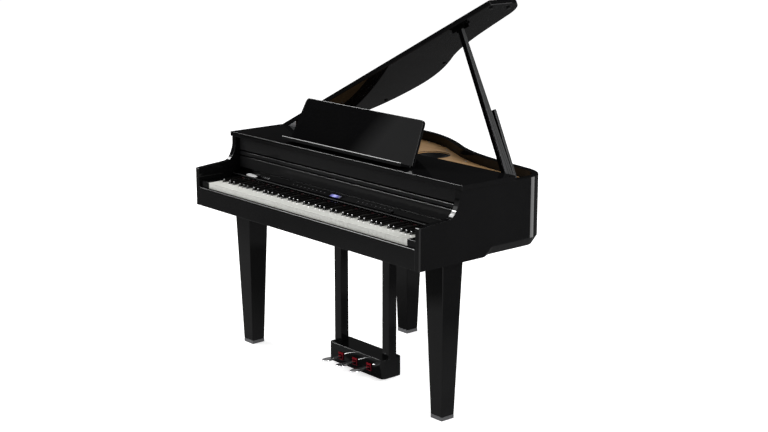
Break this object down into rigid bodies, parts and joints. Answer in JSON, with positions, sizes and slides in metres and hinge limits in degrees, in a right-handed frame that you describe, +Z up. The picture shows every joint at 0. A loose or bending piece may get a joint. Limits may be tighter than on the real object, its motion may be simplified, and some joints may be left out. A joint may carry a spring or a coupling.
{
  "type": "digital grand piano",
  "caption": "Small digital grand piano in polished black with its lid propped open, curved tail, sliding key cover, folding music rest, lyre with pedals and tapered square legs.",
  "frame": {"origin": "on the floor under the middle of the piano's overall box with the lid open", "axes": "+Z up, the player sits on the -Y side, the bass keys are at -X and the treble keys at +X"},
  "size_m": [1.4095, 0.906, 1.5081],
  "materials": {
    "polished_black": "polished ebony",
    "raw_board": "bare board",
    "spruce": "satin varnish",
    "satin_black_board": "satin black",
    "key_white": "smooth ivory white",
    "key_black": "smooth black",
    "black_plastic": "matt black",
    "dark_steel": "satin black",
    "bright_steel": "brushed",
    "chrome": "polished",
    "silver_plastic": "silver paint",
    "display_glass": "lit violet",
    "aluminium": "plain"
  },
  "bodies": {
    "case": {"left_side": "polished_black", "right_side": "polished_black", "curved_rim": "polished_black", "key_slip": "polished_black", "left_key_block": "polished_black", "right_key_block": "polished_black", "top_board": "polished_black", "upper_fascia": "polished_black", "lower_fascia": "polished_black", "control_panel": "polished_black", "front_left_leg": "polished_black", "front_right_leg": "polished_black", "rear_leg": "polished_black", "left_column": "polished_black", "right_column": "polished_black", "pedal_box": "polished_black", "keybed": "raw_board", "bottom_board": "raw_board", "key_frame": "raw_board", "soundboard": "spruce", "power_inlet": "black_plastic", "left_speaker": "black_plastic", "right_speaker": "black_plastic", "prop_bracket": "dark_steel", "rest_hinge": "dark_steel", "lid_hinge": "bright_steel", "front_left_ferrule": "bright_steel", "front_right_ferrule": "bright_steel", "rear_ferrule": "bright_steel", "display_window": "display_glass", "amplifier_board": "aluminium"},
    "key_cover": {"key_cover": "satin_black_board", "cover_grip": "polished_black"},
    "lid": {"lid": "polished_black", "prop_socket": "dark_steel"},
    "long_prop": {"long_prop": "satin_black_board"},
    "short_prop": {"short_prop": "satin_black_board"},
    "music_rest": {"music_rest": "polished_black", "music_ledge": "polished_black"},
    "rest_stay": {"rest_stay": "dark_steel"},
    "volume_slider": {"volume_slider": "silver_plastic"},
    "power_button": {"power_button": "black_plastic"},
    "soft_pedal": {"soft_pedal": "chrome"},
    "middle_pedal": {"middle_pedal": "chrome"},
    "damper_pedal": {"damper_pedal": "chrome"},
    "bass_keys": {"bass_keys": "key_white"},
    "treble_keys": {"treble_keys": "key_white"},
    "key_C": {"key_C": "key_white"},
    "key_Cs": {"key_Cs": "key_black"},
    "key_D": {"key_D": "key_white"},
    "key_Ds": {"key_Ds": "key_black"},
    "key_E": {"key_E": "key_white"},
    "key_F": {"key_F": "key_white"},
    "key_Fs": {"key_Fs": "key_black"},
    "key_G": {"key_G": "key_white"},
    "key_Gs": {"key_Gs": "key_black"},
    "key_A": {"key_A": "key_white"},
    "key_As": {"key_As": "key_black"},
    "key_B": {"key_B": "key_white"}
  },
  "joints": [
    {"name": "lid_raise", "type": "hinge", "parent": "case", "child": "lid", "pos_m": [-0.6915, 0.127, 0.872], "axis": [0, -1, 0], "range_deg": [0, 12]},
    {"name": "long_prop_fold", "type": "hinge", "parent": "case", "child": "long_prop", "pos_m": [0.634, 0.0335, 0.858], "axis": [0, -1, 0], "range_deg": [0, 64.4]},
    {"name": "short_prop_fold", "type": "hinge", "parent": "case", "child": "short_prop", "pos_m": [0.634, 0.0606, 0.858], "axis": [0, -1, 0], "range_deg": [0, 64.4]},
    {"name": "music_rest_fold", "type": "hinge", "parent": "case", "child": "music_rest", "pos_m": [0, -0.1883, 0.8976], "axis": [-1, 0, 0], "range_deg": [0, 65]},
    {"name": "rest_stay_fold", "type": "hinge", "parent": "music_rest", "child": "rest_stay", "pos_m": [0, -0.14604, 0.98823], "axis": [1, 0, 0], "range_deg": [0, 130]},
    {"name": "key_cover_slide", "type": "slide", "parent": "case", "child": "key_cover", "axis": [0, -0.9971, -0.0767], "range_m": [0, 0.189]},
    {"name": "volume_slide", "type": "slide", "parent": "case", "child": "volume_slider", "axis": [1, 0, 0], "range_m": [-0.016, 0.016]},
    {"name": "power_press", "type": "slide", "parent": "case", "child": "power_button", "axis": [0, 0.3657, -0.9308], "range_m": [0, 0.0012], "stiffness_N_per_m": 400, "springref_m": -0.002},
    {"name": "soft_pedal_press", "type": "hinge", "parent": "case", "child": "soft_pedal", "pos_m": [-0.087, -0.103, 0.052], "axis": [1, 0, 0], "range_deg": [0, 4.9], "stiffness_Nm_per_rad": 12, "springref_deg": -6.88},
    {"name": "middle_pedal_press", "type": "hinge", "parent": "case", "child": "middle_pedal", "pos_m": [0, -0.103, 0.052], "axis": [1, 0, 0], "range_deg": [0, 4.9], "stiffness_Nm_per_rad": 12, "springref_deg": -6.88},
    {"name": "damper_pedal_press", "type": "hinge", "parent": "case", "child": "damper_pedal", "pos_m": [0.087, -0.103, 0.052], "axis": [1, 0, 0], "range_deg": [0, 4.9], "stiffness_Nm_per_rad": 12, "springref_deg": -6.88},
    {"name": "bass_keys_press", "type": "hinge", "parent": "case", "child": "bass_keys", "pos_m": [0, -0.2135, 0.6895], "axis": [1, 0, 0], "range_deg": [0, 2.5], "stiffness_Nm_per_rad": 80, "springref_deg": -8.59},
    {"name": "treble_keys_press", "type": "hinge", "parent": "case", "child": "treble_keys", "pos_m": [0, -0.2135, 0.6895], "axis": [1, 0, 0], "range_deg": [0, 2.5], "stiffness_Nm_per_rad": 76, "springref_deg": -8.59},
    {"name": "key_C_press", "type": "hinge", "parent": "case", "child": "key_C", "pos_m": [0, -0.2135, 0.6895], "axis": [1, 0, 0], "range_deg": [0, 2.5], "stiffness_Nm_per_rad": 2, "springref_deg": -8.59},
    {"name": "key_Cs_press", "type": "hinge", "parent": "case", "child": "key_Cs", "pos_m": [0, -0.2135, 0.6895], "axis": [1, 0, 0], "range_deg": [0, 2.5], "stiffness_Nm_per_rad": 1.2, "springref_deg": -7.45},
    {"name": "key_D_press", "type": "hinge", "parent": "case", "child": "key_D", "pos_m": [0, -0.2135, 0.6895], "axis": [1, 0, 0], "range_deg": [0, 2.5], "stiffness_Nm_per_rad": 2, "springref_deg": -8.59},
    {"name": "key_Ds_press", "type": "hinge", "parent": "case", "child": "key_Ds", "pos_m": [0, -0.2135, 0.6895], "axis": [1, 0, 0], "range_deg": [0, 2.5], "stiffness_Nm_per_rad": 1.2, "springref_deg": -7.45},
    {"name": "key_E_press", "type": "hinge", "parent": "case", "child": "key_E", "pos_m": [0, -0.2135, 0.6895], "axis": [1, 0, 0], "range_deg": [0, 2.5], "stiffness_Nm_per_rad": 2, "springref_deg": -8.59},
    {"name": "key_F_press", "type": "hinge", "parent": "case", "child": "key_F", "pos_m": [0, -0.2135, 0.6895], "axis": [1, 0, 0], "range_deg": [0, 2.5], "stiffness_Nm_per_rad": 2, "springref_deg": -8.59},
    {"name": "key_Fs_press", "type": "hinge", "parent": "case", "child": "key_Fs", "pos_m": [0, -0.2135, 0.6895], "axis": [1, 0, 0], "range_deg": [0, 2.5], "stiffness_Nm_per_rad": 1.2, "springref_deg": -7.45},
    {"name": "key_G_press", "type": "hinge", "parent": "case", "child": "key_G", "pos_m": [0, -0.2135, 0.6895], "axis": [1, 0, 0], "range_deg": [0, 2.5], "stiffness_Nm_per_rad": 2, "springref_deg": -8.59},
    {"name": "key_Gs_press", "type": "hinge", "parent": "case", "child": "key_Gs", "pos_m": [0, -0.2135, 0.6895], "axis": [1, 0, 0], "range_deg": [0, 2.5], "stiffness_Nm_per_rad": 1.2, "springref_deg": -7.45},
    {"name": "key_A_press", "type": "hinge", "parent": "case", "child": "key_A", "pos_m": [0, -0.2135, 0.6895], "axis": [1, 0, 0], "range_deg": [0, 2.5], "stiffness_Nm_per_rad": 2, "springref_deg": -8.59},
    {"name": "key_As_press", "type": "hinge", "parent": "case", "child": "key_As", "pos_m": [0, -0.2135, 0.6895], "axis": [1, 0, 0], "range_deg": [0, 2.5], "stiffness_Nm_per_rad": 1.2, "springref_deg": -7.45},
    {"name": "key_B_press", "type": "hinge", "parent": "case", "child": "key_B", "pos_m": [0, -0.2135, 0.6895], "axis": [1, 0, 0], "range_deg": [0, 2.5], "stiffness_Nm_per_rad": 2, "springref_deg": -8.59}
  ],
  "couplings": [
    {"joint": "rest_stay_fold", "follows": "music_rest_fold", "ratio": 2}
  ]
}
